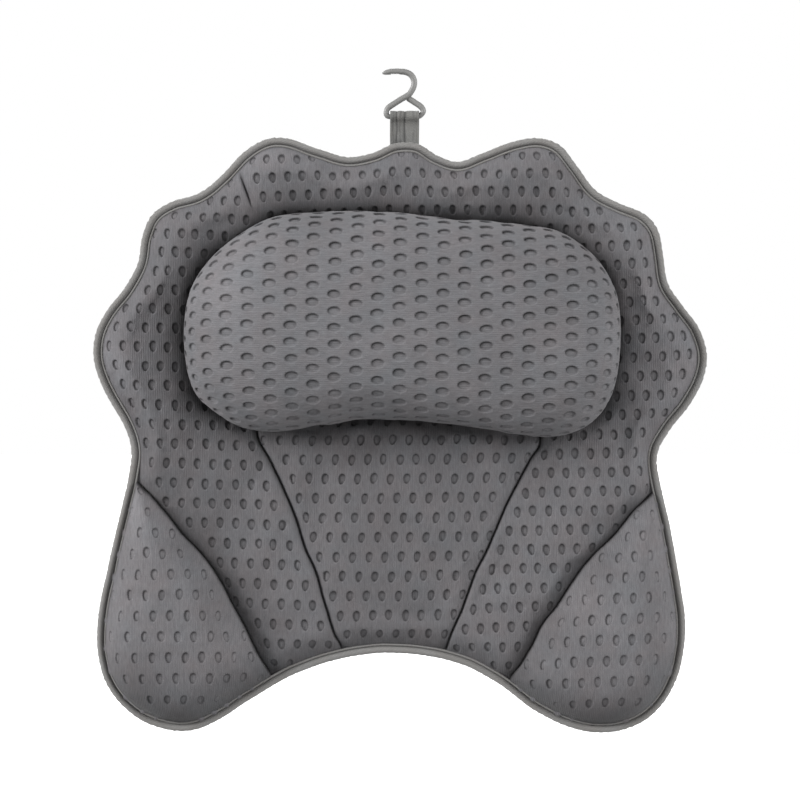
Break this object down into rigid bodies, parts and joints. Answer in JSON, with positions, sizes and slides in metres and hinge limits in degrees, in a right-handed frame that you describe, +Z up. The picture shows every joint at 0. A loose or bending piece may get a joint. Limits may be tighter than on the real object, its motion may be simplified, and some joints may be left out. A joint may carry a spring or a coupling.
{
  "type": "bath pillow",
  "caption": "Padded bath pillow with a scalloped body, raised head cushion, puffed side wings, edge binding, hanging hook and suction cups behind.",
  "frame": {"origin": "centre of the plane of the suction cup rims, which is the wall that holds the pillow", "axes": "+Y from the pillow into the wall, so the front faces -Y; +Z up towards the hook; +X to the right as seen from the front"},
  "size_m": [0.4321, 0.107, 0.4714],
  "materials": {
    "mesh_fabric": "knitted spacer mesh, matt",
    "cushion_fabric": "knitted spacer mesh, matt",
    "binding_tape": "rolled knitted tape, matt",
    "strap_tape": "ribbed tape, matt",
    "tab_webbing": "woven webbing, matt",
    "foam": "open-cell filling",
    "lining": "woven lining, matt",
    "hook_plastic": "satin moulded",
    "eyelet_metal": "satin",
    "cup_vinyl": "clear soft vinyl"
  },
  "bodies": {
    "pillow": {"crown_panel": "mesh_fabric", "centre_panel": "mesh_fabric", "wing_panel_left": "mesh_fabric", "wing_panel_right": "mesh_fabric", "back_panel": "mesh_fabric", "binding": "binding_tape", "head_cover": "cushion_fabric", "head_foam": "foam", "head_base": "lining", "base_foam": "foam", "wing_foam_left": "foam", "wing_foam_right": "foam", "strap_tail": "strap_tape", "cup_tab_1": "tab_webbing", "eyelet_1": "eyelet_metal", "cup_tab_2": "tab_webbing", "eyelet_2": "eyelet_metal", "cup_tab_3": "tab_webbing", "eyelet_3": "eyelet_metal", "cup_tab_4": "tab_webbing", "eyelet_4": "eyelet_metal", "cup_tab_5": "tab_webbing", "eyelet_5": "eyelet_metal", "cup_tab_6": "tab_webbing", "eyelet_6": "eyelet_metal"},
    "strap": {"strap_loop": "strap_tape"},
    "hook": {"hook": "hook_plastic"},
    "cup_1": {"suction_cup_1": "cup_vinyl"},
    "cup_2": {"suction_cup_2": "cup_vinyl"},
    "cup_3": {"suction_cup_3": "cup_vinyl"},
    "cup_4": {"suction_cup_4": "cup_vinyl"},
    "cup_5": {"suction_cup_5": "cup_vinyl"},
    "cup_6": {"suction_cup_6": "cup_vinyl"}
  },
  "joints": [
    {"name": "strap_fold", "type": "hinge", "parent": "pillow", "child": "strap", "pos_m": [0.0026, -0.0182, 0.208], "axis": [1, 0, 0], "range_deg": [-90, 60]},
    {"name": "hook_swing", "type": "hinge", "parent": "strap", "child": "hook", "pos_m": [0.0026, -0.0182, 0.2276], "axis": [1, 0, 0], "range_deg": [-100, 90]},
    {"name": "cup_spin_1", "type": "hinge", "parent": "pillow", "child": "cup_1", "pos_m": [-0.095, -0.013, 0.15], "axis": [0, 1, 0], "continuous": true},
    {"name": "cup_spin_2", "type": "hinge", "parent": "pillow", "child": "cup_2", "pos_m": [0.095, -0.013, 0.15], "axis": [0, 1, 0], "continuous": true},
    {"name": "cup_spin_3", "type": "hinge", "parent": "pillow", "child": "cup_3", "pos_m": [-0.15, -0.013, 0.042], "axis": [0, 1, 0], "continuous": true},
    {"name": "cup_spin_4", "type": "hinge", "parent": "pillow", "child": "cup_4", "pos_m": [0.15, -0.013, 0.042], "axis": [0, 1, 0], "continuous": true},
    {"name": "cup_spin_5", "type": "hinge", "parent": "pillow", "child": "cup_5", "pos_m": [-0.135, -0.013, -0.14], "axis": [0, 1, 0], "continuous": true},
    {"name": "cup_spin_6", "type": "hinge", "parent": "pillow", "child": "cup_6", "pos_m": [0.132, -0.013, -0.14], "axis": [0, 1, 0], "continuous": true}
  ]
}
